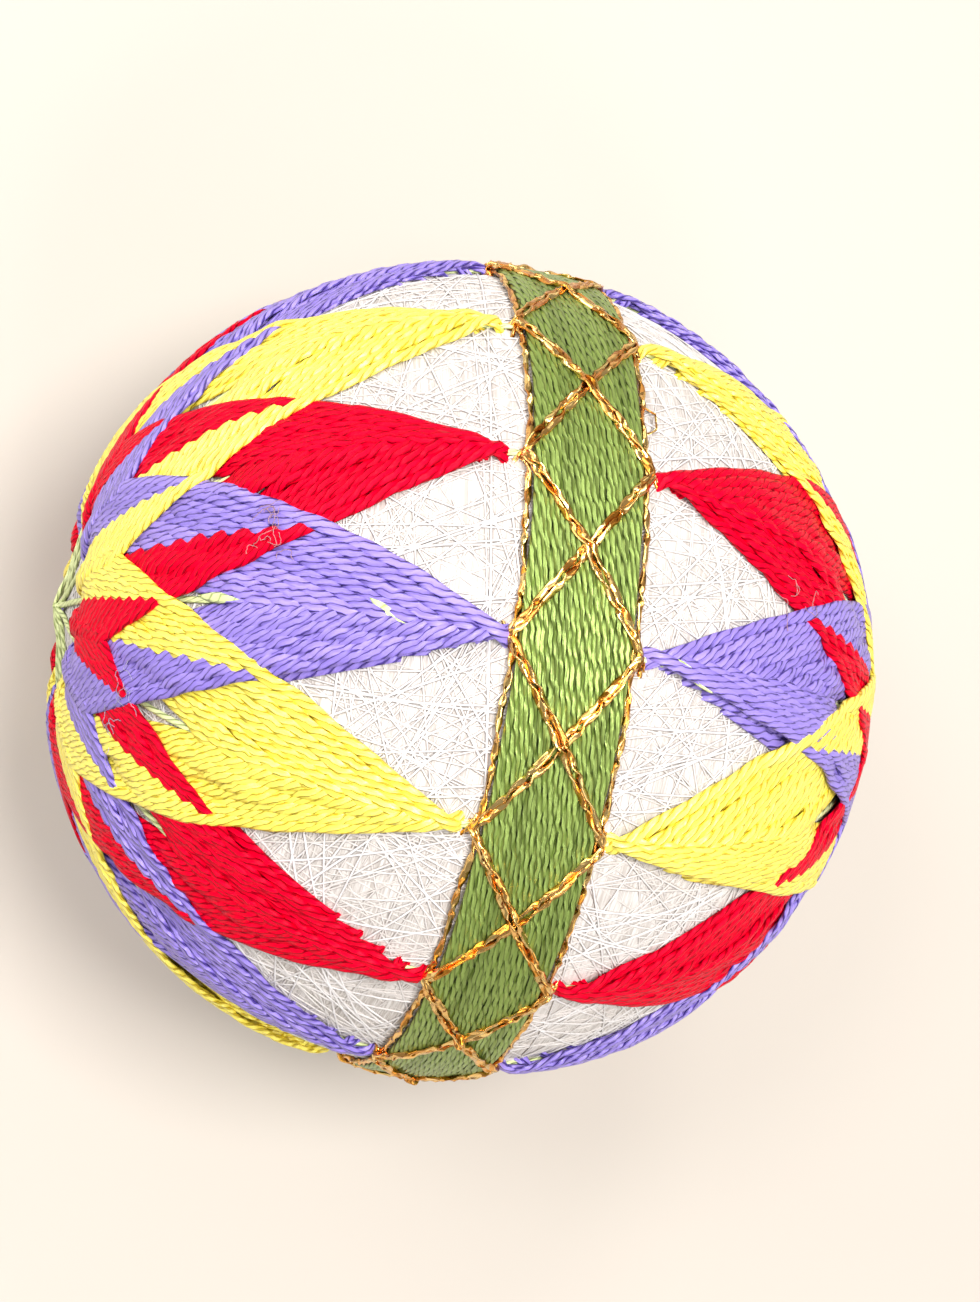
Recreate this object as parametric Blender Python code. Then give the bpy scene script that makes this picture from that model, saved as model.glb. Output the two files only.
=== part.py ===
"""A temari: a thread-wound ball with a wrapped band, a laced lattice and two interlaced stars of points.

Metres, +Z up. The origin is on the surface that the ball rests on, under its centre. The axis
through the two embroidered poles is X, and the wrapped band is the equator between them.
Fifteen divisions run round the axis. An index counts them: index TOP_INDEX points straight up,
and each index after it lies one division further towards -Y.
"""

import bmesh
import bpy
import numpy as np
from mathutils import Vector
from math import cos, pi, radians, sin, sqrt, tan

# The wound ball
BALL_RADIUS = 0.035
GAP = 0.0003
DIVISIONS = 15
DIVISION = 2 * pi / DIVISIONS
TOP_INDEX = 3.0

# The wrapped band round the equator, with a metallic cord along each edge
BAND_HALF_WIDTH = 0.0043
BAND_THICKNESS = 0.0006
BAND_EDGE_ROUNDING = 0.0002
CORD_DIAMETER = 0.0006
CORD_SIDES = 6
CORD_OFFSET = BAND_HALF_WIDTH + GAP + CORD_DIAMETER / 2

# The metallic lattice laced across the band: two strands side by side
LACE_WIDTH = 0.0010
LACE_THICKNESS = 0.0005
LACE_LIFT = GAP + BAND_THICKNESS + GAP
LACE_APEX = 0.0058
LACE_DIP_FROM = 0.0053
LACE_DIP_TO = 0.0061
LACE_STEPS = 4

# The stars: five points of each colour round each pole, ten rows to a point
POINTS = 5
INDICES_PER_POINT = DIVISIONS // POINTS
ARMS = 2 * POINTS
ROWS = 10
FIRST_TIP, LAST_TIP = radians(46.0), radians(77.5)
FIRST_CORNER, LAST_CORNER = radians(10.0), radians(25.3)
ARM_BOW = radians(1.2)
THREAD_THICKNESS = 0.0005
LAYING_CLEARANCE = 0.0004
ARM_STEPS = 8
STAR_COLUMNS = 4
FINE_ALONG, FINE_ACROSS = 64, 21
TOUCH_DISTANCE = 0.0010

# The flat spot that the ball rests on: its layers are squeezed together below PRESS_REACH
ENVELOPE_RADIUS = BALL_RADIUS + LACE_LIFT + LACE_THICKNESS
FLAT_DEPTH = 0.0005
PRESS_REACH = 0.0040
CENTRE_HEIGHT = ENVELOPE_RADIUS - FLAT_DEPTH

# Facets
BALL_SEGMENTS, BALL_RINGS = 48, 24
RING_SEGMENTS = 60

# Name, base colour, roughness, metallic
FINISHES = {
    "white_winding": ((0.90, 0.88, 0.84, 1), 0.75, 0.0),
    "green_band": ((0.18, 0.29, 0.09, 1), 0.45, 0.0),
    "gold_cord": ((0.78, 0.45, 0.14, 1), 0.30, 1.0),
    "red_thread": ((0.68, 0.003, 0.03, 1), 0.55, 0.0),
    "yellow_thread": ((0.93, 0.83, 0.05, 1), 0.55, 0.0),
    "purple_thread": ((0.33, 0.25, 0.68, 1), 0.55, 0.0),
}

# The index of each colour's first point. The stars are laid on the ball in this order.
COLOURS = {"red": 2, "yellow": 1, "purple": 0}
SIDES = {"left": -1, "right": 1}


def clear_scene():
    for obj in list(bpy.data.objects):
        bpy.data.objects.remove(obj, do_unlink=True)


def finish(name):
    material = bpy.data.materials.new(name)
    material.use_nodes = True
    colour, roughness, metallic = FINISHES[name]
    shader = material.node_tree.nodes["Principled BSDF"]
    shader.inputs["Base Color"].default_value = colour
    shader.inputs["Roughness"].default_value = roughness
    shader.inputs["Metallic"].default_value = metallic
    material.diffuse_color = colour
    return material


def around(index):
    """Unit vector across the axis that points at a division index."""
    angle = DIVISION * (index - TOP_INDEX)
    return Vector((0, -sin(angle), cos(angle)))


def from_pole(index, polar, side=-1):
    """Unit vector at an angle from the pole on one side."""
    return around(index) * sin(polar) + Vector((side * cos(polar), 0, 0))


def from_equator(index, offset):
    """Unit vector at a distance along the ball's surface from the equator."""
    latitude = offset / BALL_RADIUS
    return around(index) * cos(latitude) + Vector((sin(latitude), 0, 0))


def press(point):
    """The point after the ball has settled on its flat spot. Only the lowest layers move, straight up."""
    across = min(point.xy.length, ENVELOPE_RADIUS)
    lowest = -sqrt(ENVELOPE_RADIUS**2 - across**2)
    floor = -CENTRE_HEIGHT
    upper = floor + PRESS_REACH
    if lowest >= floor or point.z >= upper:
        return point
    squeeze = PRESS_REACH / (upper - lowest)
    return Vector((point.x, point.y, floor + (point.z - lowest) * squeeze))


def add_object(name, bm, finish_name, sharp_angle=40):
    """Makes the object, with its origin at the ball's centre."""
    for vertex in bm.verts:
        vertex.co = press(vertex.co)
    bmesh.ops.recalc_face_normals(bm, faces=bm.faces)
    mesh = bpy.data.meshes.new(name)
    bm.to_mesh(mesh)
    bm.free()
    mesh.shade_smooth()
    mesh.set_sharp_from_angle(angle=radians(sharp_angle))
    mesh.materials.append(bpy.data.materials.get(finish_name) or finish(finish_name))
    obj = bpy.data.objects.new(name, mesh)
    obj.location = (0, 0, CENTRE_HEIGHT)
    bpy.context.scene.collection.objects.link(obj)
    return obj


def thicken(bm, thickness):
    """Turns an open sheet round the ball into a solid, by extruding it outwards."""
    outer = bmesh.ops.extrude_face_region(bm, geom=bm.faces[:], use_keep_orig=True)
    for vertex in outer["geom"]:
        if isinstance(vertex, bmesh.types.BMVert):
            vertex.co += vertex.co.normalized() * thickness


def add_facets(bm, here, ahead):
    """Two triangles between two pairs of vertices, split along the shorter diagonal, because a
    long one would cut deep under the ball's curve."""
    (a, b), (c, d) = here, ahead
    if (a.co - d.co).length < (b.co - c.co).length:
        bm.faces.new((a, b, d))
        bm.faces.new((a, d, c))
    else:
        bm.faces.new((a, b, c))
        bm.faces.new((b, d, c))


def wound_ball():
    bm = bmesh.new()
    bmesh.ops.create_uvsphere(
        bm, u_segments=BALL_SEGMENTS, v_segments=BALL_RINGS, radius=BALL_RADIUS
    )
    return add_object("wound_ball", bm, "white_winding")


def ring_from_profile(name, profile, finish_name):
    """Spins a closed profile of (offset from the equator, height over the ball) round the axis."""
    bm = bmesh.new()
    loop = [
        bm.verts.new(from_equator(0, offset) * (BALL_RADIUS + height))
        for offset, height in profile
    ]
    edges = [bm.edges.new((a, b)) for a, b in zip(loop, loop[1:] + loop[:1])]
    bmesh.ops.spin(
        bm,
        geom=loop + edges,
        cent=(0, 0, 0),
        axis=(1, 0, 0),
        angle=2 * pi,
        steps=RING_SEGMENTS,
        use_merge=True,
    )
    return add_object(name, bm, finish_name)


def wrapped_band():
    inner, outer = GAP, GAP + BAND_THICKNESS
    edge, shoulder = BAND_HALF_WIDTH, BAND_HALF_WIDTH - BAND_EDGE_ROUNDING
    half = [
        (edge / 2, inner),
        (edge, inner),
        (edge, outer - BAND_EDGE_ROUNDING),
        (shoulder, outer),
        (shoulder / 3, outer),
    ]
    mirrored = [(-offset, height) for offset, height in reversed(half)]
    return ring_from_profile("wrapped_band", [(0, inner)] + half + mirrored, "green_band")


def edge_cord(side_name, side):
    radius = CORD_DIAMETER / 2
    profile = []
    for corner in range(CORD_SIDES):
        turn = 2 * pi * corner / CORD_SIDES
        offset = side * CORD_OFFSET + radius * cos(turn)
        profile.append((offset, GAP + radius + radius * sin(turn)))
    return ring_from_profile(f"edge_cord_{side_name}", profile, "gold_cord")


def lace_height(offset):
    """The lattice lies on the band and cords, and dips to the ball beyond them."""
    beyond = (abs(offset) - LACE_DIP_FROM) / (LACE_DIP_TO - LACE_DIP_FROM)
    return LACE_LIFT - (LACE_LIFT - GAP) * min(1, max(0, beyond))


def lattice():
    """One strand goes twice round, so each of its turns crosses the band between two indices."""
    slope = LACE_APEX / (DIVISION / 2 * BALL_RADIUS)
    lean = np.arctan(slope)
    across_strand = LACE_WIDTH / 2 / cos(lean)
    along_strand = LACE_WIDTH / 2 / sin(lean) / (BALL_RADIUS * DIVISION)
    bm = bmesh.new()
    made = {}

    def vertex(index, offset):
        key = (round(index % DIVISIONS, 4) % DIVISIONS, round(offset, 7))
        if key not in made:
            height = lace_height(offset)
            made[key] = bm.verts.new(from_equator(index, offset) * (BALL_RADIUS + height))
        return made[key]

    def bar(start_a, end_a, start_b, end_b):
        """A strip between edge a and edge b, each from its (index, offset) start to its end."""
        for step in range(LACE_STEPS):
            corners = []
            for start, end, part in (
                (start_a, end_a, step),
                (start_a, end_a, step + 1),
                (start_b, end_b, step + 1),
                (start_b, end_b, step),
            ):
                share = part / LACE_STEPS
                index = start[0] + (end[0] - start[0]) * share
                offset = start[1] + (end[1] - start[1]) * share
                corners.append(vertex(index, offset))
            bm.faces.new(corners)

    for cell in range(DIVISIONS):
        middle = cell + 0.5
        bm.faces.new(
            [
                vertex(middle, across_strand),
                vertex(middle + along_strand, 0),
                vertex(middle, -across_strand),
                vertex(middle - along_strand, 0),
            ]
        )
        for side in (-1, 1):
            for ahead in (-1, 1):
                apex = middle + ahead / 2
                bar(
                    (middle, side * across_strand),
                    (apex, side * (LACE_APEX + across_strand)),
                    (middle + ahead * along_strand, 0),
                    (apex, side * (LACE_APEX - across_strand)),
                )
    thicken(bm, LACE_THICKNESS)
    return add_object("gold_lattice", bm, "gold_cord")


def arc(start, end, share, bow_side):
    """A point on the arc between two unit vectors, bowed out to one side as the rows push it."""
    reach = start.angle(end)
    point = (start * sin((1 - share) * reach) + end * sin(share * reach)) / sin(reach)
    sideways = start.cross(end).normalized() * (bow_side * tan(ARM_BOW) * sin(pi * share))
    return (point + sideways).normalized()


def star_point(first_index, row, way):
    """Unit vector on one row of a star on the left pole. way runs from 0 to ARMS round the star,
    from a tip to a corner in each even arm and back out to a tip in each odd one."""
    arm = int(way) % ARMS
    share = way - int(way)
    spread = row / (ROWS - 1)
    tip_polar = FIRST_TIP + (LAST_TIP - FIRST_TIP) * spread
    corner_polar = FIRST_CORNER + (LAST_CORNER - FIRST_CORNER) * spread
    tip_index = first_index + INDICES_PER_POINT * ((arm + 1) // 2)
    corner_index = first_index + INDICES_PER_POINT * (arm // 2 + 0.5)
    tip = from_pole(tip_index, tip_polar)
    corner = from_pole(corner_index, corner_polar)
    if arm % 2 == 0:
        return arc(tip, corner, share, 1)
    return arc(corner, tip, share, 1)


def star_samples(first_index):
    """Unit vectors all over a star: an array of stations along it by places across it."""
    rows = np.linspace(-0.5, ROWS - 0.5, FINE_ACROSS)
    ways = np.arange(ARMS * FINE_ALONG) / FINE_ALONG
    return np.array([[star_point(first_index, row, way) for row in rows] for way in ways])


def between_corners(heights):
    """Heights at the samples of one point of a star, from those at its facets' corners."""
    along = np.arange(2 * FINE_ALONG) * ARM_STEPS / FINE_ALONG
    across = np.linspace(0, STAR_COLUMNS, FINE_ACROSS)
    closed = np.vstack([heights, heights[:1]])
    corners, stations = np.arange(STAR_COLUMNS + 1), np.arange(len(closed))
    widened = np.array([np.interp(across, corners, line) for line in closed])
    return np.array([np.interp(along, stations, line) for line in widened.T]).T


def lay_star(samples, laid):
    """Heights over the ball of a star's underside, at the facets' corners of one of its points.
    Each corner is as high as the most that the star needs within a facet of it, to clear the
    stars in laid. Each of those is its samples and the heights of its top."""
    one_point = samples[: 2 * FINE_ALONG]
    needed = np.full(one_point.shape[:2], GAP)
    reach = cos(TOUCH_DISTANCE / BALL_RADIUS)
    for below, tops in laid:
        touches = one_point.reshape(-1, 3) @ below.reshape(-1, 3).T > reach
        over = np.where(touches, tops.reshape(-1), 0).max(1).reshape(needed.shape)
        needed = np.maximum(needed, np.where(over > 0, over + LAYING_CLEARANCE, 0))
    along, across = FINE_ALONG // ARM_STEPS, FINE_ACROSS // STAR_COLUMNS
    heights = []
    for station in range(0, 2 * FINE_ALONG, along):
        near = needed.take(range(station - along, station + along + 1), axis=0, mode="wrap")
        heights.append(
            [
                near[:, max(0, place - across) : place + across + 1].max()
                for place in range(0, FINE_ACROSS, across)
            ]
        )
    return np.array(heights)


def star_heights():
    """Heights of each colour's star, worked out in the order in which the stars are laid."""
    laid, found = [], {}
    for colour, first_index in COLOURS.items():
        samples = star_samples(first_index)
        heights = lay_star(samples, laid)
        tops = between_corners(heights) + THREAD_THICKNESS
        laid.append((samples, np.tile(tops, (POINTS, 1))))
        found[colour] = heights
    return found


def star(colour, side_name, heights):
    bm = bmesh.new()
    lines = []
    for station in range(ARMS * ARM_STEPS):
        line = []
        for column, row in enumerate(np.linspace(-0.5, ROWS - 0.5, STAR_COLUMNS + 1)):
            radius = BALL_RADIUS + heights[station % len(heights), column]
            point = star_point(COLOURS[colour], row, station / ARM_STEPS) * radius
            point.x *= -SIDES[side_name]
            line.append(bm.verts.new(point))
        lines.append(line)
    for here, ahead in zip(lines, lines[1:] + lines[:1]):
        for column in range(STAR_COLUMNS):
            add_facets(bm, here[column : column + 2], ahead[column : column + 2])
    thicken(bm, THREAD_THICKNESS)
    return add_object(f"{colour}_star_{side_name}", bm, f"{colour}_thread")


def build():
    clear_scene()
    wound_ball()
    wrapped_band()
    for side_name, side in SIDES.items():
        edge_cord(side_name, side)
    lattice()
    for colour, heights in star_heights().items():
        for side_name in SIDES:
            star(colour, side_name, heights)


build()
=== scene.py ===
"""The looks of the temari: every thread of the wound ball, its stars, its band and its lattice.

Metres, +Z up. Most places are given on the ball. An index counts the fifteen divisions round the
axis of the two poles, which is X: index TOP_INDEX points straight up, and each one after it lies
one division further towards -Y. A polar angle is measured from the pole on one side, -1 at the
left and 1 at the right, and a height is measured from the surface of the wound ball.
"""

from math import pi

import bpy
import numpy as np
from mathutils import Matrix, Vector


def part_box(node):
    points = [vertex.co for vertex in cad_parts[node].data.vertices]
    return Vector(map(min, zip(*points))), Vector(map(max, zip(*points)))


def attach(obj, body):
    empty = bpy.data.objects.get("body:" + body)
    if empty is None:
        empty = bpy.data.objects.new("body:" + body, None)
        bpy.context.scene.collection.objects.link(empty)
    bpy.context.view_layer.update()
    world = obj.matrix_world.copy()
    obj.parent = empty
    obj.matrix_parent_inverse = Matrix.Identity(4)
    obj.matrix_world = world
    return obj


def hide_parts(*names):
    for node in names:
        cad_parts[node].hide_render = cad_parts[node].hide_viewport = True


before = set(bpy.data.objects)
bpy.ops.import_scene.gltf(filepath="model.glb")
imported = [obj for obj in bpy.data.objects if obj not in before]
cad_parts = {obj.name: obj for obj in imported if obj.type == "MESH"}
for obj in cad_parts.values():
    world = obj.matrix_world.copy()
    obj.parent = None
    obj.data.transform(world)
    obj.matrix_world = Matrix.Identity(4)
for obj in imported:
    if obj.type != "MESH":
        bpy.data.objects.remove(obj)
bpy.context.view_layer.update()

MM = 0.001

# The ball, from the frame
BALL_LOW, BALL_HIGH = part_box("wound_ball")
BALL_RADIUS = (BALL_HIGH.x - BALL_LOW.x) / 2
CENTRE = np.array([0, 0, BALL_HIGH.z - BALL_RADIUS])
DIVISIONS = 15
DIVISION = 2 * pi / DIVISIONS
TOP_INDEX = 3.0
BAND_HALF_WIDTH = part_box("wrapped_band")[1].x

# The flat spot: what lies lowest is squeezed together below PRESS_REACH
FLAT_DEPTH = 0.5 * MM
PRESS_REACH = 4.0 * MM
ENVELOPE_RADIUS = CENTRE[2] + FLAT_DEPTH

# Stars: colour, and the index of its first point, in the order of stitching
STAR_ORDER = {"red": 2, "purple": 0, "yellow": 1}
SIDES = {"left": -1, "right": 1}
POINTS = 5
POINT_SPACING = DIVISIONS // POINTS
ROWS = 10
TIP_POLAR = np.radians([51.0, 79.8])
CORNER_POLAR = np.radians([11.4, 22.6])
TIP_STITCH = 0.52 * MM
CORNER_STITCH = 1.15 * MM
BOW_UP = np.radians([0.6, 2.4])
BOW_DOWN = np.radians([0.2, 1.0])
ARM_WANDER = 0.14 * MM
ROW_WANDER = 0.035 * MM

# No two points of a handmade star are alike. By how many degrees the outermost threads of a
# point bow further than usual, at its upper and at its lower arm, and how far its tip goes on.
POINT_SHAPE = {
    ("left", 0): (0.0, 0.0, 2.4),
    ("left", 1): (-0.8, 2.6, 0.5),
    ("left", 2): (-0.8, 2.0, 0.2),
    ("left", 3): (1.8, -0.5, 2.4),
    ("left", 4): (0.8, 0.4, 0.8),
    ("left", 5): (-1.9, 0.0, 2.4),
    ("left", 6): (0.0, 0.0, 1.9),
    ("left", 7): (-2.4, 0.0, 1.0),
    ("right", 0): (0.0, 0.0, 2.4),
    ("right", 1): (0.0, 0.0, 1.9),
    ("right", 2): (1.4, 1.6, 1.2),
    ("right", 3): (0.8, -1.5, 1.3),
    ("right", 4): (3.0, -1.3, 1.3),
    ("right", 5): (0.9, 0.7, 1.4),
    ("right", 6): (0.0, 0.0, 1.9),
}
USUAL_SHAPE = (0.0, 0.0, 1.4)

# Threads: half their width and half their thickness. A star's thread lies wider where its rows
# fan out, so that it still overlaps the next row.
STAR_HALF_HEIGHT = 0.26 * MM
STAR_HALF_WIDTHS = (0.52 * MM, 0.70 * MM)
ROW_SPACING = 0.62 * MM
ROW_OVERLAP = 0.70
MARK_THREAD = (0.27 * MM, 0.17 * MM)
BAND_THREAD = (0.33 * MM, 0.27 * MM)
GOLD_STRAND = (0.30 * MM, 0.13 * MM)

random = np.random.default_rng(15)


def unit(vectors):
    return vectors / np.linalg.norm(vectors, axis=-1, keepdims=True)


def from_pole(index, polar, side):
    """Unit vectors at angles from the pole on one side."""
    angle = DIVISION * (np.asarray(index, float) - TOP_INDEX)
    polar = np.asarray(polar, float) + 0 * angle
    across = np.sin(polar)
    return np.stack([side * np.cos(polar), -np.sin(angle) * across, np.cos(angle) * across], -1)


def from_equator(index, offset):
    """Unit vectors at distances along the ball's surface from the equator."""
    return from_pole(index, pi / 2 - np.asarray(offset) / BALL_RADIUS, 1)


def settle(points):
    """The points after the ball has settled on its flat spot."""
    points = np.array(points)
    across = np.minimum(np.hypot(points[:, 0], points[:, 1]), ENVELOPE_RADIUS)
    lowest = -np.sqrt(ENVELOPE_RADIUS**2 - across**2)
    floor = -CENTRE[2]
    upper = floor + PRESS_REACH
    pressed = (lowest < floor) & (points[:, 2] < upper)
    squeeze = PRESS_REACH / (upper - lowest[pressed])
    points[pressed, 2] = floor + (points[pressed, 2] - lowest[pressed]) * squeeze
    return points


def smooth_step(values):
    values = np.clip(values, 0, 1)
    return values * values * (3 - 2 * values)


class Strand:
    """One thread: a line of unit vectors on the ball, with its height over the ball at each, and
    its section: half its width, once or at each, and half its thickness. One with a painted
    highlight is painted lighter than the others in its mesh, as a painted highlight."""

    def __init__(self, line, height, section, closed=False, roll_pitch=None, painted_highlight=False):
        self.points = line * (BALL_RADIUS + np.asarray(height) + np.zeros(len(line)))[:, None]
        self.half_width, self.half_height = section
        self.closed = closed
        self.roll_pitch = roll_pitch
        self.painted_highlight = painted_highlight


# A thread's section is a bit squarer than an ellipse. Where its first corner lies depends on how
# many sides it has, and is a share of one side.
SQUARENESS = 0.8
FIRST_CORNER = {3: 0.75, 6: 0.0}
USUAL_FIRST_CORNER = 0.5

# Foil turns over quickly and lies flat for longer, and leans this way and that, in radians
TURNOVER = 0.45
LEAN = 0.8
LEAN_PITCH = 6.0 * MM


def ring_offsets(strand, lengths, sides):
    """How far each corner of each ring lies to the side and up. A strand with a roll pitch is a
    flat foil that turns over now and then as it goes along."""
    turn = 2 * pi * (np.arange(sides) + FIRST_CORNER.get(sides, USUAL_FIRST_CORNER)) / sides
    wide, high = np.cos(turn), np.sin(turn)
    wide = np.sign(wide) * np.abs(wide) ** SQUARENESS * strand.half_width
    high = np.sign(high) * np.abs(high) ** SQUARENESS * strand.half_height
    if strand.roll_pitch is None:
        rings = np.zeros((len(strand.points), 1))
        return rings + wide, rings + high
    share = 2 * pi * lengths[: len(strand.points)] / lengths[-1]
    rolls = max(1, round(lengths[-1] / strand.roll_pitch))
    leans = max(1, round(lengths[-1] / LEAN_PITCH))
    twist = share * rolls + random.uniform(0, 2 * pi)
    lean = LEAN * np.sin(share * leans + random.uniform(0, 2 * pi))
    roll = twist - TURNOVER * np.sin(2 * twist) + lean
    cosine, sine = np.cos(roll)[:, None], np.sin(roll)[:, None]
    return wide * cosine - high * sine, wide * sine + high * cosine


def shares_round(wide, high):
    """Where the corners of a ring lie along its perimeter, from 0 at its right to 1."""
    lengths = np.hypot(np.roll(wide, -1) - wide, np.roll(high, -1) - high)
    return (np.concatenate([[0], np.cumsum(lengths)]) + lengths[-1] / 2) / lengths.sum()


def frames_along(strand):
    """A strand's settled points, the directions across and up at each, and how far along the
    strand they lie, with its full length at the end."""
    points = settle(strand.points)
    ahead, behind = np.roll(points, -1, 0), np.roll(points, 1, 0)
    if not strand.closed:
        ahead[-1], behind[0] = points[-1], points[0]
    tangents = unit(ahead - behind)
    across = unit(np.cross(tangents, unit(strand.points)))
    ups = np.cross(across, tangents)
    steps = np.linalg.norm(np.diff(points, axis=0), axis=1)
    if strand.closed:
        steps = np.append(steps, np.linalg.norm(points[0] - points[-1]))
    return points, across, ups, np.concatenate([[0], np.cumsum(steps)])


def tube(strand, sides):
    """The corners and the quads of one thread, and for each corner of each quad how far it lies
    along the thread and, from 0 to 1, round it."""
    points, across, ups, lengths = frames_along(strand)
    wide, high = ring_offsets(strand, lengths, sides)
    rings = points[:, None] + across[:, None] * wide[..., None] + ups[:, None] * high[..., None]
    ring, side = np.meshgrid(np.arange(len(lengths) - 1), np.arange(sides), indexing="ij")
    next_ring = (ring + 1) % len(points)
    next_side = (side + 1) % sides
    quads = [
        ring * sides + next_side,
        next_ring * sides + next_side,
        next_ring * sides + side,
        ring * sides + side,
    ]
    start, end = lengths[ring], lengths[ring + 1]
    shares = shares_round(wide[0], high[0])
    near, far = shares[side], shares[side + 1]
    tables = (quads, [start, end, end, start], [far, far, near, near])
    return rings.reshape(-1, 3), *(np.stack(table, -1).reshape(-1, 4) for table in tables)


# Height of a shelf in the OFBake map, as a multiple of a thread's perimeter
SHELF_SPACING = 1.15


def shelf_places(alongs, arounds, starts, total_length, perimeter):
    """Places in a square where all threads, cut into shelves, lie side by side."""
    shelf_height = perimeter * SHELF_SPACING
    longest_step = (alongs[:, 1] - alongs[:, 0]).max()
    size = np.sqrt(total_length * shelf_height) + 2 * longest_step + shelf_height
    shelf_length = size - 2 * longest_step
    shelf = np.floor(starts / shelf_length)
    inside = starts - shelf * shelf_length
    local = alongs - alongs.min(1, keepdims=True)
    us = (inside[:, None] + local) / size
    vs = (shelf[:, None] * shelf_height + (arounds - arounds.min()) * perimeter) / size
    return us, vs


def mesh_from(name, vertices, quads, caps):
    mesh = bpy.data.meshes.new(name)
    mesh.vertices.add(len(vertices))
    mesh.vertices.foreach_set("co", vertices.ravel())
    loops = np.concatenate([quads.ravel(), caps.ravel()])
    totals = np.concatenate([np.full(len(quads), 4), np.full(len(caps), caps.shape[1])])
    mesh.loops.add(len(loops))
    mesh.loops.foreach_set("vertex_index", loops.astype(np.int32))
    mesh.polygons.add(len(totals))
    mesh.polygons.foreach_set("loop_start", (np.cumsum(totals) - totals).astype(np.int32))
    mesh.polygons.foreach_set("loop_total", totals.astype(np.int32))
    return mesh


def add_map(mesh, name, us, vs):
    """Adds a UV map with these places for the corners of the quads, and one place for the caps."""
    layer = mesh.uv_layers.new(name=name)
    places = np.empty((len(mesh.loops), 2), np.float32)
    places[:] = us.flat[0], vs.flat[0]
    places[: us.size] = np.stack([us.ravel(), vs.ravel()], -1)
    layer.data.foreach_set("uv", places.ravel())


def thread_mesh(name, strands, sides, material, smooth=True):
    """One object from many threads. Its Thread map runs along a thread and round it, in
    millimetres and turns. Its Strand map holds a random value for each thread, and 2 more for a
    thread with a painted highlight. Its OFBake map lays all threads side by side on shelves."""
    corners, quads, caps, alongs, arounds, values, starts = [], [], [], [], [], [], []
    count = 0
    travelled = 0.0
    for strand in strands:
        rings, faces, along, around = tube(strand, sides)
        corners.append(rings)
        quads.append(faces + count)
        alongs.append(along)
        arounds.append(around)
        values.append(np.full(len(faces), random.random() + 2 * strand.painted_highlight))
        starts.append(travelled + along[:, 0])
        if not strand.closed:
            first = count + np.arange(sides)
            last = first + len(rings) - sides
            caps += [first, last[::-1]]
        travelled += along.max()
        count += len(rings)
    quads, alongs, arounds = np.concatenate(quads), np.concatenate(alongs), np.concatenate(arounds)
    caps = np.array(caps, int).reshape(-1, sides)
    mesh = mesh_from(name, np.concatenate(corners) + CENTRE, quads, caps)

    perimeter = pi * (strands[0].half_width + strands[0].half_height)
    shelves = shelf_places(alongs, arounds, np.concatenate(starts), travelled, perimeter)
    add_map(mesh, "OFBake", *shelves)
    add_map(mesh, "Thread", alongs / MM, arounds)
    add_map(mesh, "Strand", np.repeat(np.concatenate(values), 4).reshape(-1, 4), arounds * 0)
    mesh.update(calc_edges=True)
    mesh.validate()
    if smooth:
        mesh.shade_smooth()
    mesh.materials.append(material)
    obj = bpy.data.objects.new(name, mesh)
    bpy.context.scene.collection.objects.link(obj)
    return obj


def dress(obj, slot, *nodes):
    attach(obj, "root")
    if nodes:
        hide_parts(*nodes)


# Laying threads over each other


class ThreadMap:
    """How high the laid threads reach over the ball round one pole, on a flat map of square
    cells. It reaches to this polar angle."""

    CELL = 0.16 * MM
    REACH = 1.47

    def __init__(self, side):
        self.side = side
        self.half = int(self.REACH * BALL_RADIUS / self.CELL) + 2
        self.tops = np.zeros((2 * self.half, 2 * self.half))

    def cells(self, line):
        polar = np.arccos(np.clip(line[..., 0] * self.side, -1, 1))
        azimuth = np.arctan2(line[..., 1], line[..., 2])
        out = polar * BALL_RADIUS / self.CELL
        column = (out * np.sin(azimuth)).astype(int) + self.half
        row = (out * np.cos(azimuth)).astype(int) + self.half
        limit = 2 * self.half - 1
        return np.clip(row, 0, limit), np.clip(column, 0, limit)

    def read(self, line):
        return self.tops[self.cells(line)]

    def write(self, line, heights):
        np.maximum.at(self.tops, self.cells(line), heights)


# A thread rests on the FOOTPRINT share of its width, and the next ones find it over the WRITTEN
# share. A tight thread slopes no more than STEEPEST, which matters as far off as BRIDGE_REACH.
# Its middle lies at the SINK share of what is under it, and RISE of its half height above that.
LAY_STEP = 0.12 * MM
FOOTPRINT = 0.3
WRITTEN = 0.68
STEEPEST = 0.42
BRIDGE_REACH = 2.5 * MM
SMOOTHING = 0.30 * MM
SINK = 0.70
RISE = 0.9
DIVE_LENGTH = 0.9 * MM
DIVE_DEPTH = 0.55 * MM


def across_of(line):
    return unit(np.cross(np.gradient(line, axis=0), line))


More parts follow.
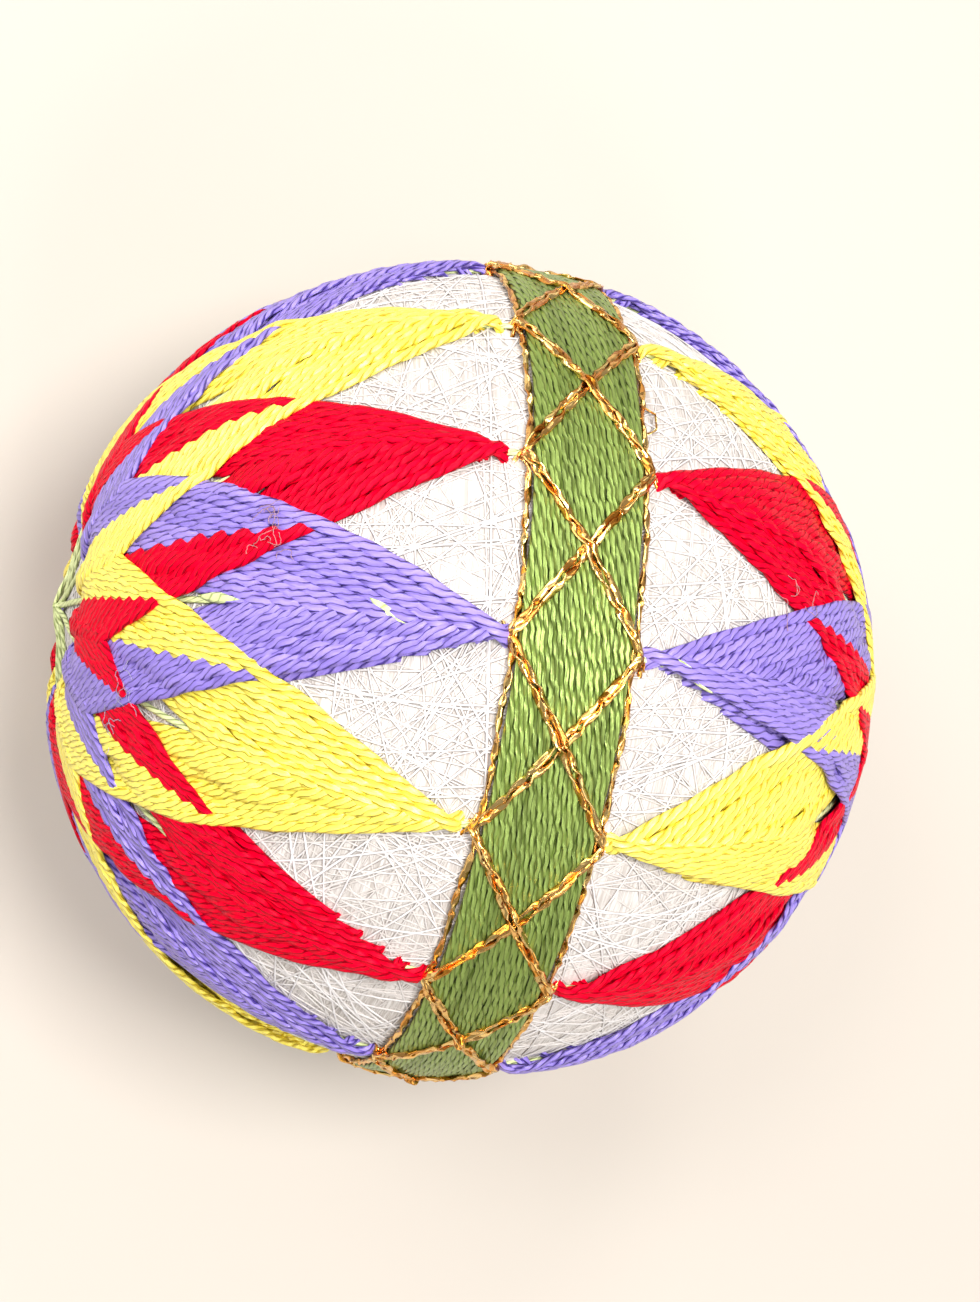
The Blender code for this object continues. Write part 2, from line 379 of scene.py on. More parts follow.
def lay(thread_map, line, section, dives=True):
    """Heights of a thread's middle along a line that lies over what the map holds. The thread
    is then added to the map. It slopes down no steeper than a tight thread can, sinks a little
    into what it crosses, and at a stitch it dives into the ball."""
    half_width, half_height = section
    sideways = across_of(line)
    reach = np.linspace(-1, 1, 5) * half_width * FOOTPRINT / BALL_RADIUS
    under = thread_map.read(line[:, None] + sideways[:, None] * reach[None, :, None]).max(1)
    window = int(BRIDGE_REACH / LAY_STEP)
    padded = np.pad(under, window, mode="edge")
    tight = under.copy()
    for shift in range(-window, window + 1):
        moved = padded[window + shift : window + shift + len(under)]
        tight = np.maximum(tight, moved - abs(shift) * LAY_STEP * STEEPEST)
    kernel_reach = int(3 * SMOOTHING / LAY_STEP)
    kernel = np.exp(-0.5 * (np.arange(-kernel_reach, kernel_reach + 1) * LAY_STEP / SMOOTHING) ** 2)
    smoothed = np.convolve(np.pad(tight, kernel_reach, mode="edge"), kernel / kernel.sum(), "valid")
    middle = smoothed * SINK + half_height * RISE
    if dives:
        from_end = np.minimum(np.arange(len(line)), np.arange(len(line))[::-1]) * LAY_STEP
        above = smooth_step(from_end / DIVE_LENGTH)
        middle = middle * above - DIVE_DEPTH * (1 - above)
    reach = np.linspace(-WRITTEN, WRITTEN, 9)
    profile = half_height * np.sqrt(1 - reach**2)
    spots = line[:, None] + sideways[:, None] * (reach * half_width / BALL_RADIUS)[None, :, None]
    thread_map.write(spots, middle[:, None] + profile[None, :])
    return middle


def waves():
    """Slow and quick waves along an arm, as pairs of cycles and phase."""
    return (random.uniform(0.8, 2.0), random.uniform(0, 6)), (random.uniform(5, 10), random.uniform(0, 6))


def arc(start, end, bow, sways):
    """Unit vectors from start to end, every LAY_STEP, bowed out to one side. Each sway is a size
    and its waves."""
    reach = np.arccos(np.clip(start @ end, -1, 1))
    share = np.linspace(0, 1, int(reach * BALL_RADIUS / LAY_STEP) + 2)
    line = np.outer(np.sin((1 - share) * reach), start) + np.outer(np.sin(share * reach), end)
    line /= np.sin(reach)
    sideways = unit(np.cross(start, end))
    sway = 0
    for size, (slow, quick) in sways:
        sway = sway + size * np.sin(share * 2 * pi * slow[0] + slow[1])
        sway = sway + size * 0.5 * np.sin(share * 2 * pi * quick[0] + quick[1])
    away = (np.tan(bow) + sway / BALL_RADIUS) * np.sin(pi * share)
    return unit(line + np.outer(away, sideways))


def resample(line, values, step):
    """A laid line with fewer stations, evenly spaced."""
    count = max(4, int(len(line) * LAY_STEP / step))
    at = np.linspace(0, len(line) - 1, count)
    whole = np.arange(len(line))
    points = np.stack([np.interp(at, whole, line[:, axis]) for axis in range(3)], -1)
    return unit(points), np.interp(at, whole, values)


# Distance between the stations of a star's thread
STAR_STEP = 0.72 * MM


def star_arms(thread_map, colour, row, side_name, arm_waves):
    """The ten arms of one row of a star, laid one after another. The left stars are stitched
    upwards past the top and the right ones downwards, so the index falls or rises."""
    side = onward = SIDES[side_name]
    share = row / (ROWS - 1)
    corner_polar = CORNER_POLAR[0] + (CORNER_POLAR[1] - CORNER_POLAR[0]) * share
    corner_shift = CORNER_STITCH / (BALL_RADIUS * np.sin(corner_polar) * DIVISION)
    made = []
    for leg in range(2 * POINTS):
        outgoing = leg % 2 == 0
        tip = STAR_ORDER[colour] + onward * POINT_SPACING * ((leg + 1) // 2)
        corner = tip + onward * (POINT_SPACING / 2 if outgoing else -POINT_SPACING / 2)
        full_shape = np.radians(POINT_SHAPE.get((side_name, tip % DIVISIONS), USUAL_SHAPE))
        shape = full_shape * share
        tip_polar = TIP_POLAR[0] + (TIP_POLAR[1] - TIP_POLAR[0]) * share + shape[2]
        tip_shift = TIP_STITCH / (BALL_RADIUS * np.sin(tip_polar) * DIVISION)
        past = onward if outgoing else -onward
        ends = [
            from_pole(tip - past * tip_shift, tip_polar, side),
            from_pole(corner + past * corner_shift, corner_polar, side),
        ]
        start, end = ends if outgoing else ends[::-1]
        outward = np.sign(np.cross(start, end) @ from_pole(corner, pi / 2, side))
        is_upper = (onward < 0) == outgoing
        usual, extra = (BOW_UP, 0) if is_upper else (BOW_DOWN, 1)
        bow = usual[0] + (usual[1] - usual[0]) * share + shape[extra]
        fanned = (usual[1] - usual[0] + full_shape[extra]) / (ROWS - 1) * BALL_RADIUS
        half_width = np.clip(ROW_OVERLAP * (ROW_SPACING + fanned), *STAR_HALF_WIDTHS)
        section = (half_width, STAR_HALF_HEIGHT)
        sways = [(ARM_WANDER, arm_waves[tip % DIVISIONS, is_upper]), (ROW_WANDER, waves())]
        line = arc(start, end, bow * outward, sways)
        heights = lay(thread_map, line, section)
        line, heights = resample(line, heights, STAR_STEP)
        made.append(Strand(line, heights, section))
    return made


# Under each point: a fan of threads, so that nothing shows between its rows. The middle one
# reaches nearest to the tip, and each one beside it stops PADDING_SHORTER before. PADDING_INDEX
# is how far apart they start and end. One point bows out so far that its fan starts nearer to
# the pole.
PADDING_POLAR = np.radians([50.0, 77.5])
PADDING_EARLIER = {("right", 4): np.radians(7.0)}
PADDING_SHORTER = np.radians(3.5)
PADDING_INDEX = (0.17, 0.055)
PADDING_PLACES = (-3, 3, -2, 2, -1, 1, 0)
PADDING_THREAD = (0.7 * MM, 0.2 * MM)


def padding(thread_map, colour, side_name):
    """The fans under the points of one star."""
    side = SIDES[side_name]
    made = []
    for point in range(POINTS):
        tip = STAR_ORDER[colour] + POINT_SPACING * point
        reach = np.radians(POINT_SHAPE.get((side_name, tip), USUAL_SHAPE)[2])
        first = PADDING_POLAR[0] - PADDING_EARLIER.get((side_name, tip), 0)
        for place in PADDING_PLACES:
            furthest = PADDING_POLAR[1] + reach - PADDING_SHORTER * abs(place)
            start = from_pole(tip + place * PADDING_INDEX[0], first, side)
            end = from_pole(tip + place * PADDING_INDEX[1], furthest, side)
            line = arc(start, end, 0, [])
            heights = lay(thread_map, line, PADDING_THREAD)
            line, heights = resample(line, heights, STAR_STEP)
            made.append(Strand(line, heights, PADDING_THREAD))
    return made


# From where to where a marking thread is laid, as polar angles, and how far it wanders, as an index
MARK_POLAR = (0.004, 1.44)
MARK_WANDER = 0.012
MARK_STEP = 1.2 * MM


def marking_threads(thread_maps):
    """Fifteen threads from pole to pole, laid as far as the band on each side."""
    made = []
    for index in range(DIVISIONS):
        for side, thread_map in thread_maps.items():
            polar = np.arange(*MARK_POLAR, LAY_STEP / BALL_RADIUS)
            wander = MARK_WANDER * np.sin(polar * 9 + random.uniform(0, 6))
            line = from_pole(index + wander, polar, side)
            heights = lay(thread_map, line, MARK_THREAD, dives=False)
            line, heights = resample(line, heights, MARK_STEP)
            made.append(Strand(line, heights, MARK_THREAD))
    return made


# Where a marking thread shows between the rows of a point: side, first and last index, and first
# and last polar angle in degrees
PEEKS = [
    ("left", 2.90, 3.02, 64.6, 69.6),
    ("left", 2.96, 2.98, 41.0, 48.0),
    ("right", 2.98, 3.12, 77.0, 71.5),
    ("left", 6.96, 7.08, 64.0, 68.5),
    ("left", 12.00, 12.10, 67.0, 71.5),
    ("right", 8.00, 8.10, 69.0, 65.0),
    ("right", 11.90, 12.02, 72.5, 68.0),
]
PEEK_THREAD = (0.46 * MM, 0.16 * MM)
PEEK_STEP = 0.25 * MM

# Where fine fibres stand out: colour, side, index, polar angle in degrees, and how many
FUZZ = [
    ("red", "left", 2.5, 51, 12),
    ("purple", "left", 3.9, 33, 8),
    ("purple", "left", 4.4, 30, 6),
    ("red", "right", 2.5, 57, 6),
    ("yellow", "right", 9.0, 60, 6),
    ("red", "left", 9.5, 48, 8),
    ("purple", "right", 11.0, 40, 8),
]
FIBRE = (0.026 * MM, 0.026 * MM)
FIBRE_STATIONS = 18


def peeking_threads(thread_maps):
    """The marking threads where they show, pointed at both ends like a leaf."""
    made = []
    for side_name, first_index, last_index, first, last in PEEKS:
        side = SIDES[side_name]
        start = from_pole(first_index, np.radians(first), side)
        end = from_pole(last_index, np.radians(last), side)
        line = arc(start, end, 0.0, [])
        heights = lay(thread_maps[side], line, PEEK_THREAD, dives=False)
        line, heights = resample(line, heights, PEEK_STEP)
        leaf = np.sin(np.linspace(0.03, pi - 0.03, len(line)))[:, None] ** 0.8
        made.append(Strand(line, heights, (PEEK_THREAD[0] * leaf, PEEK_THREAD[1])))
    return made


def fuzz(thread_maps, made):
    """Adds curly fibres to the strands of their star."""
    for colour_name, side_name, index, polar, count in FUZZ:
        side = SIDES[side_name]
        for _ in range(count):
            turn = random.uniform(0, 2 * pi) + np.cumsum(random.normal(0, 0.55, FIBRE_STATIONS))
            steps = random.uniform(0.07, 0.16) * MM / BALL_RADIUS
            out = np.radians(polar + random.normal(0, 1.3)) + np.cumsum(np.cos(turn)) * steps
            sideways = np.cumsum(np.sin(turn)) * steps / (DIVISION * np.sin(out))
            around = index + random.normal(0, 0.1) + sideways
            line = from_pole(around, out, side)
            lift = random.uniform(0.1, 0.5) * MM * np.sin(np.linspace(0, pi, len(line)))
            height = thread_maps[side].read(line).max() + lift
            # Fuzz fibres get a painted highlight: their material paints them paler.
            made[colour_name, side_name].append(Strand(line, height, FIBRE, painted_highlight=True))


def stars():
    """Strands of each star, by colour and side, and the marking threads below them."""
    thread_maps = {side: ThreadMap(side) for side in SIDES.values()}
    marks = marking_threads(thread_maps)
    made = {}
    for side_name, side in SIDES.items():
        arm_waves = {(index, up): waves() for index in range(DIVISIONS) for up in (True, False)}
        for colour in STAR_ORDER:
            made[colour, side_name] = padding(thread_maps[side], colour, side_name)
        for row in range(ROWS):
            for colour in STAR_ORDER:
                arms = star_arms(thread_maps[side], colour, row, side_name, arm_waves)
                made[colour, side_name] += arms
    marks += peeking_threads(thread_maps)
    fuzz(thread_maps, made)
    return marks, made


# The band and its gold threads

BAND_TURNS = 17
BAND_STEP = 1.0 * MM
BAND_MIDDLE = 0.45 * MM
BAND_UNEVENNESS = 0.04 * MM


def closed_index(step):
    """Indices all the way round the ball, about a step apart."""
    count = int(2 * pi * BALL_RADIUS / step)
    return np.arange(count) * DIVISIONS / count


def band_strands():
    """The green turns side by side, each a little higher or lower than the next."""
    made = []
    offsets = np.linspace(-1, 1, BAND_TURNS) * (BAND_HALF_WIDTH - BAND_THREAD[0] * 1.05)
    for offset in offsets:
        index = closed_index(BAND_STEP)
        turn = index * DIVISION
        wander = BAND_UNEVENNESS * (
            np.sin(turn * random.integers(3, 9) + random.uniform(0, 6))
            + np.sin(turn * random.integers(9, 20) + random.uniform(0, 6))
        )
        height = BAND_MIDDLE + random.uniform(-1, 1) * BAND_UNEVENNESS
        line = from_equator(index, offset + wander)
        made.append(Strand(line, height, BAND_THREAD, closed=True))
    return made


BAND_TOP = BAND_MIDDLE + BAND_THREAD[1]
CORD_OFFSET = BAND_HALF_WIDTH + 0.30 * MM
CORD_HEIGHT = 0.34 * MM
CORD_WANDER = 0.07 * MM
GOLD_STEP = 0.20 * MM
GOLD_ROLL = 5.0 * MM


def edge_strands(side):
    """The gold cord beside the band on one side."""
    offset = side * CORD_OFFSET
    index = closed_index(GOLD_STEP)
    turn = index * DIVISION
    wander = CORD_WANDER * (np.sin(turn * 13 + side) + np.sin(turn * 31 + 2 * side))
    line = from_equator(index, offset + wander)
    made = [Strand(line, CORD_HEIGHT, GOLD_STRAND, closed=True, roll_pitch=GOLD_ROLL)]
    if side > 0:
        made.append(loose_loop())
    return made


LOOSE_STRAND = (0.10 * MM, 0.08 * MM)
LOOSE_INDEX = 1.52
LOOSE_REACH = 0.95 * MM


def loose_loop():
    """A slack bit of the right-hand cord."""
    share = np.linspace(0, 1, 30)
    out = np.clip(np.sin(pi * share) * 1.6, 0, 1)
    index = LOOSE_INDEX + 0.20 * share + 0.02 * np.sin(9 * share)
    line = from_equator(index, CORD_OFFSET + LOOSE_REACH * out)
    return Strand(line, (0.25 + 0.35 * out) * MM, LOOSE_STRAND, roll_pitch=2 * MM)


# How far from the equator the lattice turns back, half the distance between the two strands of a
# bar, and how high and how long the hump is where one bar crosses over another
LACE_APEX = 5.1 * MM
LACE_SPREAD = 0.22 * MM
LACE_WANDER = 0.05 * MM
LACE_DIVE = 0.8 * MM
CROSSING_HUMP = 0.42 * MM
CROSSING_REACH = 0.8 * MM


def lace_height(offset):
    """The lattice lies on the band, and comes down to the ball beyond the cords."""
    beyond = (np.abs(offset) - (BAND_HALF_WIDTH + 0.2 * MM)) / (1.5 * MM)
    return BAND_TOP + GOLD_STRAND[1] * 0.8 - smooth_step(beyond) * BAND_TOP * 0.75


def lattice_strands():
    """Two strands side by side in each bar. The bars that run down to the right lie on top."""
    made = []
    division_length = DIVISION * BALL_RADIUS
    lean = np.arctan2(division_length, 2 * LACE_APEX)
    count = int(np.hypot(2 * LACE_APEX, division_length) / GOLD_STEP)
    share = np.linspace(-0.02, 1.02, count)
    from_middle = np.abs(2 * share - 1)
    closer = 1 - 0.55 * smooth_step(from_middle * 6 - 5)
    dive = LACE_DIVE * smooth_step((from_middle - 0.97) / 0.07)
    hump = CROSSING_HUMP * np.exp(-(((share - 0.5) * count * GOLD_STEP / CROSSING_REACH) ** 2))
    for index in range(DIVISIONS):
        for over in (False, True):
            slant = 1 if over else -1
            for strand in (-1, 1):
                apart = strand * (LACE_SPREAD + LACE_WANDER * np.sin(share * 9 + index)) * closer
                offset = slant * (2 * share - 1) * LACE_APEX + apart * np.sin(lean)
                along = index + share - slant * apart * np.cos(lean) / division_length
                height = lace_height(offset) + (hump if over else 0) - dive
                line = from_equator(along, offset)
                made.append(Strand(line, height, GOLD_STRAND, roll_pitch=GOLD_ROLL))
    return made


ANCHOR_STRAND = (0.20 * MM, 0.12 * MM)


def anchor_strands():
    """Small crossed stitches that hold the lattice beyond the cords."""
    made = []
    for side in SIDES.values():
        for index in range(DIVISIONS):
            for _ in range(2):
                share = np.linspace(0, 1, 14)
                slant = random.choice((-1, 1)) * random.uniform(0.03, 0.07)
                reach = random.uniform(0.4, 1.0) * MM
                along = index + random.normal(0, 0.015) + slant * (2 * share - 1)
                offset = side * (LACE_APEX - 0.3 * MM + reach * share)
                height = 0.42 * MM * np.sin(pi * share) - 0.12 * MM
                line = from_equator(along, offset)
                made.append(Strand(line, height, ANCHOR_STRAND, roll_pitch=GOLD_ROLL))
    return made


# The wound ball

WRAP_TURNS = 420
WRAP_STATIONS = 64
WRAP_HALF_WIDTH = 0.125 * MM
WRAP_FLATNESS = 0.45
CORE_DEPTH = 0.10 * MM


def wrap_strands():
    """Fine threads wound round the ball in all directions."""
    made = []
    for _ in range(WRAP_TURNS):
        axis = unit(random.normal(size=3))
        first = unit(np.cross(axis, random.normal(size=3)))
        second = np.cross(axis, first)
        turn = np.linspace(0, 2 * pi, WRAP_STATIONS, endpoint=False)
        shift = random.normal() * 0.05
        wander = shift + 0.012 * np.sin(turn * 2 + random.uniform(0, 6))
        line = unit(
            np.outer(np.cos(turn), first) + np.outer(np.sin(turn), second) + np.outer(wander, axis)
        )
        height = random.uniform(-0.13, 0.02) * MM + 0.02 * MM * np.sin(turn * 5 + random.uniform(0, 6))
        section = (WRAP_HALF_WIDTH * random.uniform(0.85, 1.25), WRAP_HALF_WIDTH * WRAP_FLATNESS)
        made.append(Strand(line, height, section, closed=True))
    return made


def wound_core(material):
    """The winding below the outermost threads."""
    bpy.ops.mesh.primitive_ico_sphere_add(subdivisions=5, radius=BALL_RADIUS - CORE_DEPTH)
    core = bpy.context.object
    core.name = "wound_core"
    count = len(core.data.vertices)
    points = np.empty(count * 3)
    core.data.vertices.foreach_get("co", points)
    points = settle(points.reshape(-1, 3)) + CENTRE
    core.data.vertices.foreach_set("co", points.ravel())
    core.data.shade_smooth()
    core.data.materials.append(material)
    return core


# Materials


class Nodes:
    """Adds shader nodes to a material by short calls."""

    def __init__(self, name):
        self.material = bpy.data.materials.new(name)
        self.material.use_nodes = True
        self.tree = self.material.node_tree
        self.shader = self.tree.nodes["Principled BSDF"]

    def add(self, kind, links=(), **settings):
        node = self.tree.nodes.new(kind)
        for key, value in settings.items():
            setattr(node, key, value)
        for socket, value in dict(links).items():
            self.set(node, socket, value)
        return node

    def set(self, node, socket, value):
        if isinstance(value, bpy.types.NodeSocket):
            self.tree.links.new(value, node.inputs[socket])
        else:
            node.inputs[socket].default_value = value

    def math(self, operation, first, second=0.0, third=None):
        node = self.add("ShaderNodeMath", operation=operation)
        self.set(node, 0, first)
        self.set(node, 1, second)
        if third is not None:
            self.set(node, 2, third)
        return node.outputs[0]

    def vector(self, operation, first, second):
        return self.add("ShaderNodeVectorMath", {0: first, 1: second}, operation=operation)

    def mix(self, factor, first, second):
        node = self.add("ShaderNodeMix", data_type="RGBA", blend_type="MIX")
        self.set(node, 0, factor)
        self.set(node, 6, first)
        self.set(node, 7, second)
        return node.outputs[2]

    def uv(self, name):
        node = self.add("ShaderNodeUVMap", uv_map=name)
        split = self.add("ShaderNodeSeparateXYZ", {0: node.outputs[0]})
        return split.outputs[0], split.outputs[1]

    def noise(self, vector, scale, detail=2.0):
        links = {"Vector": vector, "Scale": scale, "Detail": detail}
        return self.add("ShaderNodeTexNoise", links).outputs[0]

    def place(self):
        return self.add("ShaderNodeTexCoord").outputs["Object"]

    def combine(self, x, y, z=0.0):
        return self.add("ShaderNodeCombineXYZ", {0: x, 1: y, 2: z}).outputs[0]

    def ramp(self, value, low, high):
        node = self.add("ShaderNodeMapRange", {0: value, 1: low, 2: high})
        node.interpolation_type = "SMOOTHSTEP"
        return node.outputs[0]

    def bump(self, height, distance):
        node = self.add("ShaderNodeBump", {"Height": height, "Distance": distance, "Strength": 1.0})
        self.set(self.shader, "Normal", node.outputs[0])


def colour(red, green, blue):
    """Scene-linear colour from one given in sRGB, 0 to 255."""
    values = np.array([red, green, blue]) / 255
    linear = np.where(values <= 0.04045, values / 12.92, ((values + 0.055) / 1.055) ** 2.4)
    return (*linear, 1.0)


def plied_thread(name, light, dark_tone_and_groove_shade, pitch, plies, depth, roughness, shine, satin=0.0):
    """A glossy thread twisted from plies, with fine fibres along each ply. The grooves between
    the plies, which open into wedges at the thread's sides, are painted darker as painted shade,
    and a thread with a painted highlight is painted paler."""
    nodes = Nodes(name)
    along, around = nodes.uv("Thread")
    value, _ = nodes.uv("Strand")
    unevenness = nodes.noise(nodes.combine(nodes.math("MULTIPLY", along, 0.22), value), 3.0)
    turns = nodes.math("DIVIDE", along, pitch)
    turns = nodes.math("ADD", turns, nodes.math("MULTIPLY", value, 17.3))
    turns = nodes.math("ADD", turns, nodes.math("MULTIPLY", unevenness, 0.3))
    phase = nodes.math("MULTIPLY", nodes.math("SUBTRACT", around, turns), float(plies))
    saw = nodes.math("FRACT", phase)
    from_middle = nodes.math("ABSOLUTE", nodes.math("SUBTRACT", saw, 0.5))
    sideness = nodes.math("ABSOLUTE", nodes.math("COSINE", nodes.math("MULTIPLY", around, 2 * pi)))
    edge = nodes.math("MULTIPLY", nodes.math("POWER", sideness, 2.0), 0.16)
    groove = nodes.ramp(nodes.math("ADD", from_middle, edge), 0.42, 0.58)
    crown = nodes.math("POWER", nodes.math("MULTIPLY", from_middle, 2.0), 2.0)
    fibre_place = nodes.combine(
        nodes.math("MULTIPLY", along, 0.5),
        nodes.math("MULTIPLY", phase, 3.0),
        nodes.math("MULTIPLY", value, 31.0),
    )
    fibres = nodes.noise(fibre_place, 1.0, 3.0)
    height = nodes.math("SUBTRACT", nodes.math("MULTIPLY", fibres, 0.9), groove)
    height = nodes.math("SUBTRACT", height, nodes.math("MULTIPLY", crown, 0.9))
    shade = nodes.math("MULTIPLY_ADD", fibres, 0.6, nodes.math("MULTIPLY", value, 0.35))
    half = tuple(np.array(dark_tone_and_groove_shade) * 0.30 + np.array(light) * 0.70)
    body = nodes.mix(nodes.ramp(shade, 0.28, 0.62), half, light)
    # A thread with a painted highlight is mixed towards a pale colour: a painted highlight on fine
    # fibres.
    painted_highlight = tuple(np.array(light) * 0.45 + 0.5)
    # The grooves and side wedges take the dark colour: painted shade between plies and between threads.
    tone = nodes.mix(groove, body, dark_tone_and_groove_shade)
    nodes.set(nodes.shader, "Base Color", nodes.mix(nodes.ramp(value, 1.2, 1.8), tone, painted_highlight))
    nodes.set(nodes.shader, "Roughness", roughness)
    nodes.set(nodes.shader, "Specular IOR Level", shine)
    nodes.set(nodes.shader, "Metallic", satin)
    nodes.bump(height, depth)
    return nodes.material


def gold_thread(name):
    """Metal foil wound on a core: small flat facets, each tilted its own way."""
    nodes = Nodes(name)
    along, around = nodes.uv("Thread")
    value, _ = nodes.uv("Strand")
    place = nodes.combine(
        nodes.math("MULTIPLY", along, 0.9),
        nodes.math("MULTIPLY_ADD", around, 2.0, nodes.math("MULTIPLY", along, 0.3)),
        nodes.math("MULTIPLY", value, 40.0),
    )
    facets = nodes.add("ShaderNodeTexVoronoi", {"Vector": place, "Scale": 1.0})
    local = nodes.vector("SUBTRACT", place, facets.outputs["Position"])
    tilt = nodes.vector("SUBTRACT", facets.outputs["Color"], (0.5, 0.5, 0.5))
    slope = nodes.vector("DOT_PRODUCT", local.outputs[0], tilt.outputs[0])
    cell = nodes.add("ShaderNodeSeparateXYZ", {0: facets.outputs["Color"]}).outputs[0]
    warm = nodes.mix(cell, colour(232, 150, 48), colour(255, 222, 146))
    # Dark brown patches in the noise are painted shade, standing for dents in the foil.
    painted_dent_shade = nodes.ramp(nodes.noise(place, 1.6, 2.0), 0.62, 0.70)
    nodes.set(nodes.shader, "Base Color", nodes.mix(painted_dent_shade, warm, colour(136, 66, 14)))
    nodes.set(nodes.shader, "Metallic", 1.0)
    nodes.set(nodes.shader, "Roughness", 0.22)
    nodes.bump(slope.outputs["Value"], 0.8 * MM)
    return nodes.material


def white_thread(name):
    """Fine, matt white thread, painted darker where it lies deeper between the others, as painted shade.
    """
    nodes = Nodes(name)
    value, _ = nodes.uv("Strand")
    along, around = nodes.uv("Thread")
    patches = nodes.noise(nodes.combine(nodes.math("MULTIPLY", along, 0.3), value), 2.0)
    shade = nodes.math("ADD", nodes.math("MULTIPLY", value, 0.6), nodes.math("MULTIPLY", patches, 0.4))
    tone = nodes.mix(nodes.ramp(shade, 0.1, 0.9), colour(210, 205, 202), colour(223, 219, 219))
    from_centre = nodes.vector("DISTANCE", nodes.place(), tuple(CENTRE)).outputs["Value"]
    top = nodes.ramp(from_centre, BALL_RADIUS - 0.10 * MM, BALL_RADIUS + 0.04 * MM)
    # Threads lying deeper are mixed towards a greyer colour: painted shade between the threads.
    nodes.set(nodes.shader, "Base Color", nodes.mix(top, colour(197, 189, 183), tone))
    nodes.set(nodes.shader, "Roughness", 0.6)
    fibre_place = nodes.combine(nodes.math("MULTIPLY", along, 3.0), nodes.math("MULTIPLY", around, 9.0))
    fibres = nodes.noise(fibre_place, 1.0)
    nodes.bump(fibres, 0.03 * MM)
    return nodes.material


def packed_winding(name):
    """Winding under the outermost threads: threads in all directions, with shadows between."""
    nodes = Nodes(name)
    place = nodes.place()
    layers = None
    for turn in ((0.3, 0.9, 0.2), (1.3, 0.1, 1.9), (2.2, 2.7, 0.8), (0.9, 2.0, 2.6)):
        links = {"Vector": place, "Rotation": turn, "Scale": (4500, 260, 260)}
        turned = nodes.add("ShaderNodeMapping", links)
        wound = nodes.noise(turned.outputs[0], 1.0, 1.0)
        layers = wound if layers is None else nodes.math("MAXIMUM", layers, wound)
    height = nodes.ramp(layers, 0.45, 0.72)
    tone = nodes.mix(height, colour(176, 167, 160), colour(212, 206, 201))
    nodes.set(nodes.shader, "Base Color", tone)
    nodes.set(nodes.shader, "Roughness", 0.75)
    nodes.bump(height, 0.06 * MM)
    return nodes.material


# Putting the pieces together


def make_pieces():
    thread_colours = {
        "red": (colour(228, 0, 40), colour(176, 0, 26), 0.05),
        "yellow": (colour(255, 238, 92), colour(232, 196, 16), 1.0),
        "purple": (colour(147, 127, 210), colour(72, 52, 148), 0.6),
    }
    marks, arms = stars()
    light, dark_tone_and_groove_shade = colour(222, 230, 168), colour(168, 184, 112)
    mark_finish = plied_thread("mark_finish", light, dark_tone_and_groove_shade, 5.0, 4, 0.05 * MM, 0.5, 0.4)
    dress(thread_mesh("marking_threads", marks, 6, mark_finish), "white_thread")
    for name, (light, dark_tone_and_groove_shade, shine) in thread_colours.items():
        finish = plied_thread(f"{name}_finish", light, dark_tone_and_groove_shade, 6.6, 5, 0.10 * MM, 0.38, shine)
        for side_name in SIDES:
            star = thread_mesh(f"{name}_star_{side_name}_threads", arms[name, side_name], 8, finish)
            dress(star, f"{name}_thread", f"{name}_star_{side_name}")

    light, dark_tone_and_groove_shade = colour(144, 166, 82), colour(46, 56, 12)
    green = plied_thread("band_finish", light, dark_tone_and_groove_shade, 9.0, 5, 0.10 * MM, 0.38, 0.7, satin=0.55)
    dress(thread_mesh("band_threads", band_strands(), 8, green), "green_thread", "wrapped_band")

    gold = gold_thread("gold_finish")
    for side_name, side in SIDES.items():
        cord = thread_mesh(f"edge_{side_name}_thread", edge_strands(side), 6, gold, smooth=False)
        dress(cord, "gold_thread", f"edge_cord_{side_name}")
    lattice = thread_mesh("lattice_threads", lattice_strands() + anchor_strands(), 6, gold, smooth=False)
    dress(lattice, "gold_thread", "gold_lattice")

    dress(wound_core(packed_winding("winding_finish")), "white_thread", "wound_ball")
    wraps = thread_mesh("winding_threads", wrap_strands(), 3, white_thread("wrap_finish"))
    dress(wraps, "white_thread", "wound_ball")


# Floor, light and camera

# The camera, as fitted to the photograph. The focal length is in the photograph's pixels.
VIEW_BACK = np.array([-0.23525, -0.08700, 0.96803])
VIEW_FORWARD = np.array([0.24676, 0.09712, -0.96415])
VIEW_UP = np.array([-0.15662, 0.98587, 0.05920])
VIEW_DISTANCE = 5.8454 * BALL_RADIUS
PHOTO_HEIGHT = 1302
FOCAL_PIXELS = 2300
SENSOR = 36.0


def plain_finish(name, tone, roughness):
    nodes = Nodes(name)
    nodes.set(nodes.shader, "Base Color", tone)
    nodes.set(nodes.shader, "Roughness", roughness)
    return nodes.material


def floor():
    bpy.ops.mesh.primitive_plane_add(size=4, location=(0, 0, 0))
    plane = bpy.context.object
    plane.name = "floor"
    plane.data.materials.append(plain_finish("floor_finish", colour(190, 182, 172), 0.8))


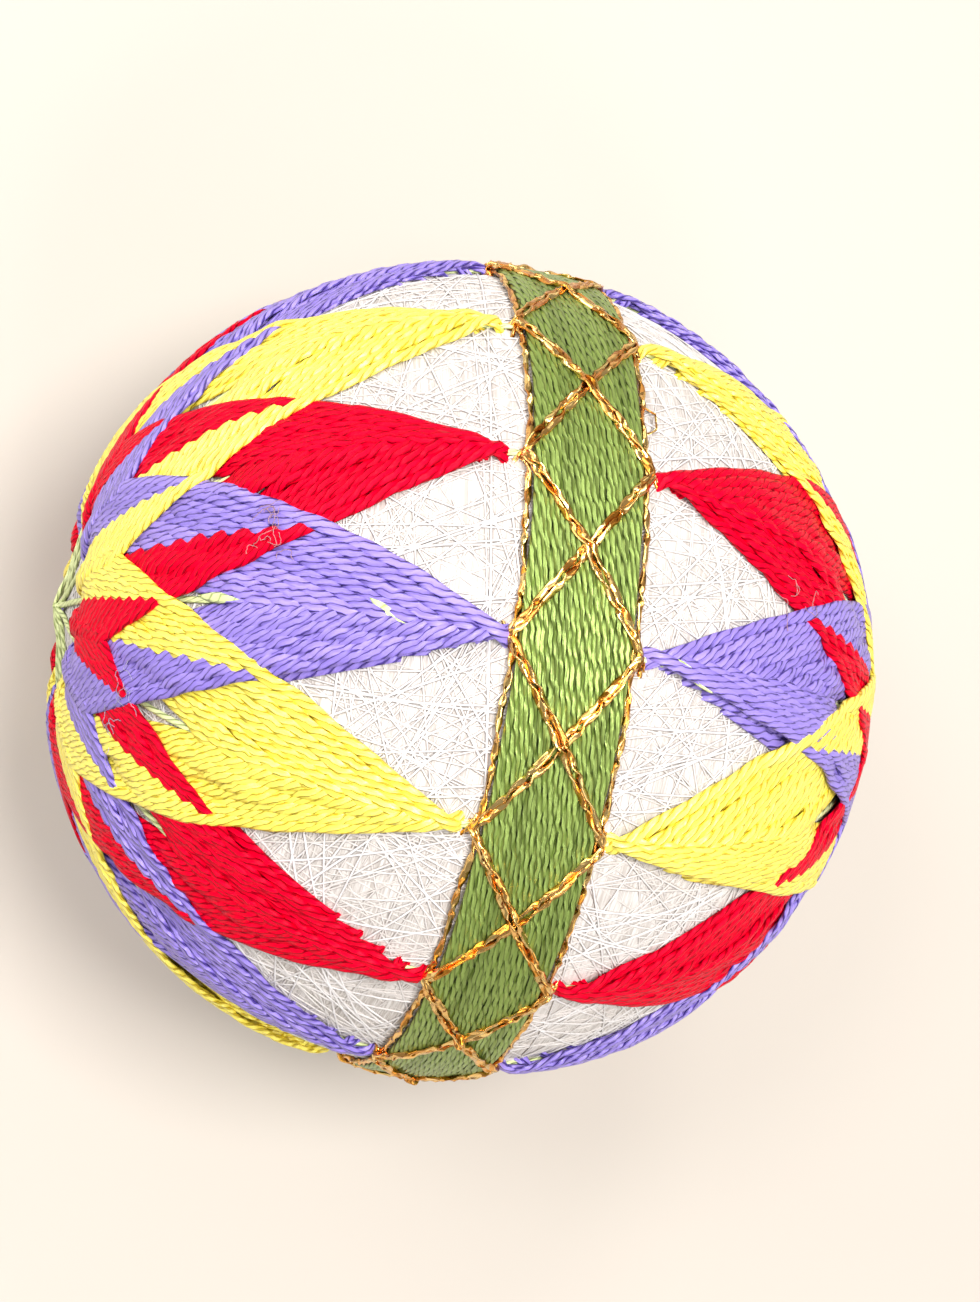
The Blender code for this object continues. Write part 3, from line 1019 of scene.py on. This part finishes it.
def area_light(name, place, size, power, tone=(1, 1, 1)):
    data = bpy.data.lights.new(name, "AREA")
    data.shape = "DISK"
    data.size = size
    data.energy = power
    data.color = tone
    lamp = bpy.data.objects.new(name, data)
    lamp.location = place
    aim = Vector(CENTRE) - Vector(place)
    lamp.rotation_euler = aim.to_track_quat("-Z", "Y").to_euler()
    bpy.context.scene.collection.objects.link(lamp)


# Lamps: name, place, diameter and power
LAMPS = [
    ("fill", (0.45, -0.35, 0.35), 0.5, 0.95),
    ("side", (-0.5, 0.25, 0.30), 0.4, 1.8),
    ("top", (-0.15, 0.45, 0.55), 0.6, 1.0),
    ("glint_0", (-0.25, 0.10, 0.5), 0.12, 0.52),
    ("glint_1", (0.02, 0.35, 0.45), 0.12, 0.52),
    ("glint_2", (0.05, -0.32, 0.45), 0.12, 0.52),
    ("glint_3", (-0.1, -0.1, 0.6), 0.12, 0.52),
]
KEY_LAMP = ("key", (0.06, 0.04, 0.62), 0.20, 3.6)
KEY_TONE = (1.0, 0.99, 0.98)


def lights():
    area_light(*KEY_LAMP, KEY_TONE)
    for lamp in LAMPS:
        area_light(*lamp)
    world = bpy.data.worlds.new("studio")
    world.use_nodes = True
    background = world.node_tree.nodes["Background"]
    background.inputs["Color"].default_value = (1.0, 0.99, 0.97, 1)
    background.inputs["Strength"].default_value = 0.30
    bpy.context.scene.world = world
    bpy.context.scene.view_settings.view_transform = "Standard"


def camera():
    forward = unit(VIEW_FORWARD)
    right = unit(np.cross(forward, VIEW_UP))
    up = np.cross(right, forward)
    data = bpy.data.cameras.new("camera")
    data.sensor_width = SENSOR
    data.lens = SENSOR * FOCAL_PIXELS / PHOTO_HEIGHT
    data.clip_start, data.clip_end = 0.01, 10
    obj = bpy.data.objects.new("camera", data)
    place = CENTRE + unit(VIEW_BACK) * VIEW_DISTANCE
    rotation = Matrix(np.stack([right, up, -forward], 1).tolist())
    obj.matrix_world = Matrix.Translation(Vector(place)) @ rotation.to_4x4()
    bpy.context.scene.collection.objects.link(obj)
    bpy.context.scene.camera = obj


def corners(box):
    return [list(corner) for corner in box]


make_pieces()
floor()
lights()
camera()
